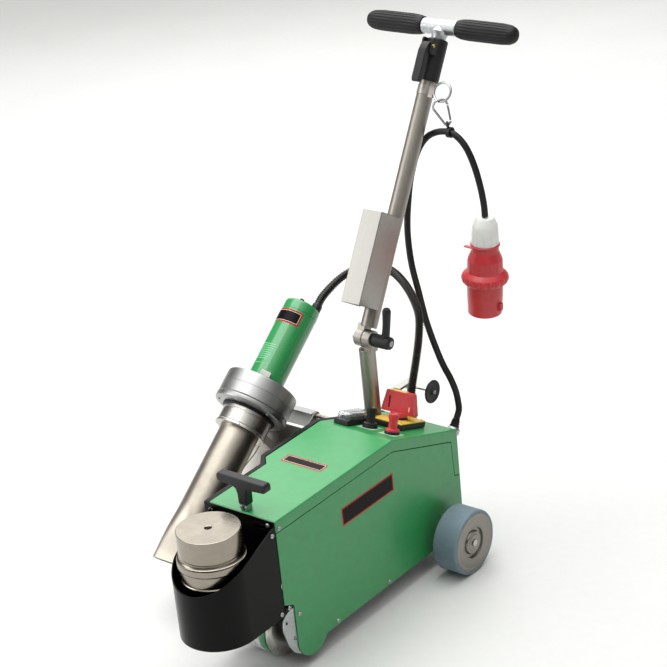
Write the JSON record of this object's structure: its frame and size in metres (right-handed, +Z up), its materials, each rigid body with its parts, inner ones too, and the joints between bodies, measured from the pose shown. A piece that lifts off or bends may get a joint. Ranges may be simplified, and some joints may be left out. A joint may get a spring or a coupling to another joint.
{
  "type": "hot-air roofing membrane welder",
  "caption": "Hand-guided machine with a motor-driven seam roller, stacked weights, swinging hot-air blower and tilting guide bar for welding roofing membrane.",
  "frame": {"origin": "on the floor under the middle of the machine", "axes": "+Z up; the roller and weights are at -Y, the guide bar leans back along +Y; +X is the right-hand side, away from the blower"},
  "size_m": [0.438, 0.859, 0.9025],
  "materials": {
    "green_paint": "green powder coat",
    "black_paint": "black powder coat",
    "black_plastic": "moulded black plastic",
    "red_plastic": "moulded red plastic",
    "white_plastic": "moulded white plastic",
    "steel": "turned steel",
    "stainless": "brushed stainless steel",
    "zinc": "zinc-plated steel",
    "aluminium": "cast aluminium",
    "tyre": "grey-blue rubber",
    "silicone": "white silicone",
    "rubber": "black rubber",
    "ceramic": "white ceramic"
  },
  "bodies": {
    "chassis": {"base_plate": "zinc", "top_cover": "green_paint", "side_cover": "green_paint", "left_side_plate": "black_paint", "front_plate": "black_paint", "weight_holder": "black_paint", "right_roller_plate": "zinc", "left_roller_plate": "zinc", "gear_motor": "aluminium", "drive_chain": "steel", "wheel_axle": "steel", "slide_rods": "stainless", "front_grip": "black_plastic", "isolator_base": "black_plastic", "rocker_frame": "black_plastic", "conduit_gland": "black_plastic", "mains_gland": "zinc", "lower_tube": "stainless", "conduit_deck_end": "rubber"},
    "left_wheel": {"left_wheel_tyre": "tyre", "left_wheel_hub": "aluminium"},
    "right_wheel": {"right_wheel_tyre": "tyre", "right_wheel_hub": "aluminium"},
    "drive_roller": {"roller_core": "steel", "roller_tread": "silicone", "roller_band": "green_paint"},
    "motor_sprocket": {"motor_sprocket": "steel"},
    "lower_weight": {"lower_weight": "steel"},
    "upper_weight": {"upper_weight": "steel"},
    "blower_carriage": {"blower_carriage": "aluminium"},
    "blower": {"blower_bracket": "zinc", "motor_housing": "green_paint", "fan_housing": "aluminium", "fan_cover": "aluminium", "heater_clamp": "stainless", "heating_tube": "stainless", "heating_element": "ceramic", "conduit_blower_end": "rubber"},
    "fan_impeller": {"fan_impeller": "aluminium"},
    "blower_dial": {"blower_dial": "black_plastic"},
    "isolator_handle": {"isolator_handle": "red_plastic"},
    "speed_knob": {"speed_knob": "black_plastic"},
    "heat_knob": {"heat_knob": "red_plastic"},
    "rocker_switch": {"rocker_switch": "red_plastic"},
    "guide_arm": {"guide_arm": "stainless"},
    "guide_disc": {"guide_disc": "rubber"},
    "guide_bar": {"upper_tube": "stainless", "tube_sleeve": "aluminium", "quick_clamp": "black_plastic", "carabiner": "zinc", "cord_strap": "rubber", "mains_cord": "rubber", "plug_nut": "white_plastic", "plug_body": "red_plastic"},
    "clamp_lever": {"clamp_lever": "black_plastic"},
    "quick_lever": {"quick_lever": "black_plastic"},
    "handle": {"handle_tube": "zinc", "left_grip": "rubber", "right_grip": "rubber"},
    "carabiner_gate": {"carabiner_gate": "zinc"}
  },
  "joints": [
    {"name": "left_wheel_spin", "type": "hinge", "parent": "chassis", "child": "left_wheel", "pos_m": [-0.0562, 0.1375, 0.0585], "axis": [1, 0, 0], "continuous": true},
    {"name": "right_wheel_spin", "type": "hinge", "parent": "chassis", "child": "right_wheel", "pos_m": [0.1942, 0.1375, 0.0585], "axis": [1, 0, 0], "continuous": true},
    {"name": "drive_roller_spin", "type": "hinge", "parent": "chassis", "child": "drive_roller", "pos_m": [0.0815, -0.222, 0.0525], "axis": [1, 0, 0], "continuous": true},
    {"name": "motor_sprocket_spin", "type": "hinge", "parent": "chassis", "child": "motor_sprocket", "pos_m": [0.1115, -0.1155, 0.104], "axis": [1, 0, 0], "continuous": true},
    {"name": "lower_weight_lift", "type": "slide", "parent": "chassis", "child": "lower_weight", "axis": [0, 0, 1], "range_m": [0, 0.165]},
    {"name": "upper_weight_lift", "type": "slide", "parent": "lower_weight", "child": "upper_weight", "axis": [0, 0, 1], "range_m": [0, 0.08]},
    {"name": "blower_slide", "type": "slide", "parent": "chassis", "child": "blower_carriage", "axis": [1, 0, 0], "range_m": [0, 0.055], "deforming": ["conduit_deck_end", "conduit_blower_end"]},
    {"name": "blower_swing", "type": "hinge", "parent": "blower_carriage", "child": "blower", "pos_m": [-0.1315, 0.0962, 0.2537], "axis": [1, 0, 0], "range_deg": [0, 18], "deforming": ["conduit_blower_end"]},
    {"name": "fan_spin", "type": "hinge", "parent": "blower", "child": "fan_impeller", "pos_m": [-0.1505, 0.02794, 0.30228], "axis": [0, -0.7882, -0.6154], "continuous": true},
    {"name": "heat_dial_turn", "type": "hinge", "parent": "blower", "child": "blower_dial", "pos_m": [-0.1555, 0.17462, 0.42314], "axis": [0, -0.7882, -0.6154], "range_deg": [0, 270]},
    {"name": "isolator_turn", "type": "hinge", "parent": "chassis", "child": "isolator_handle", "pos_m": [0.0795, 0.1281, 0.25811], "axis": [0, 0.3271, 0.945], "range_deg": [0, 90]},
    {"name": "speed_knob_turn", "type": "hinge", "parent": "chassis", "child": "speed_knob", "pos_m": [0.0677, 0.0666, 0.2794], "axis": [0, 0.3271, 0.945], "range_deg": [0, 270]},
    {"name": "heat_knob_turn", "type": "hinge", "parent": "chassis", "child": "heat_knob", "pos_m": [0.1173, 0.0631, 0.28061], "axis": [0, 0.3271, 0.945], "range_deg": [0, 270]},
    {"name": "rocker_tilt", "type": "hinge", "parent": "chassis", "child": "rocker_switch", "pos_m": [0.031, 0.06871, 0.28872], "axis": [1, 0, 0], "range_deg": [-8, 8]},
    {"name": "guide_arm_swing", "type": "hinge", "parent": "chassis", "child": "guide_arm", "pos_m": [0.0435, 0.2183, 0.17], "axis": [1, 0, 0], "range_deg": [-100, 0]},
    {"name": "guide_disc_spin", "type": "hinge", "parent": "guide_arm", "child": "guide_disc", "pos_m": [0.0955, 0.2125, 0.2895], "axis": [1, 0, 0], "continuous": true},
    {"name": "guide_bar_tilt", "type": "hinge", "parent": "chassis", "child": "guide_bar", "pos_m": [0.0265, 0.1288, 0.4131], "axis": [1, 0, 0], "range_deg": [-30, 30], "deforming": ["mains_cord"]},
    {"name": "clamp_lever_turn", "type": "hinge", "parent": "chassis", "child": "clamp_lever", "pos_m": [0.0265, 0.1288, 0.4131], "axis": [1, 0, 0], "range_deg": [-60, 90]},
    {"name": "quick_lever_open", "type": "hinge", "parent": "guide_bar", "child": "quick_lever", "pos_m": [0.0265, 0.36809, 0.86539], "axis": [1, 0, 0], "range_deg": [-100, 0]},
    {"name": "handle_extend", "type": "slide", "parent": "guide_bar", "child": "handle", "axis": [0, 0.5128, 0.8585], "range_m": [0, 0.18]},
    {"name": "hook_gate_open", "type": "hinge", "parent": "guide_bar", "child": "carabiner_gate", "pos_m": [0.08147, 0.34323, 0.74346], "axis": [0.766, -0.6428, 0], "range_deg": [0, 20], "stiffness_Nm_per_rad": 0.02}
  ],
  "couplings": [
    {"joint": "motor_sprocket_spin", "follows": "drive_roller_spin", "ratio": 1.3684}
  ]
}
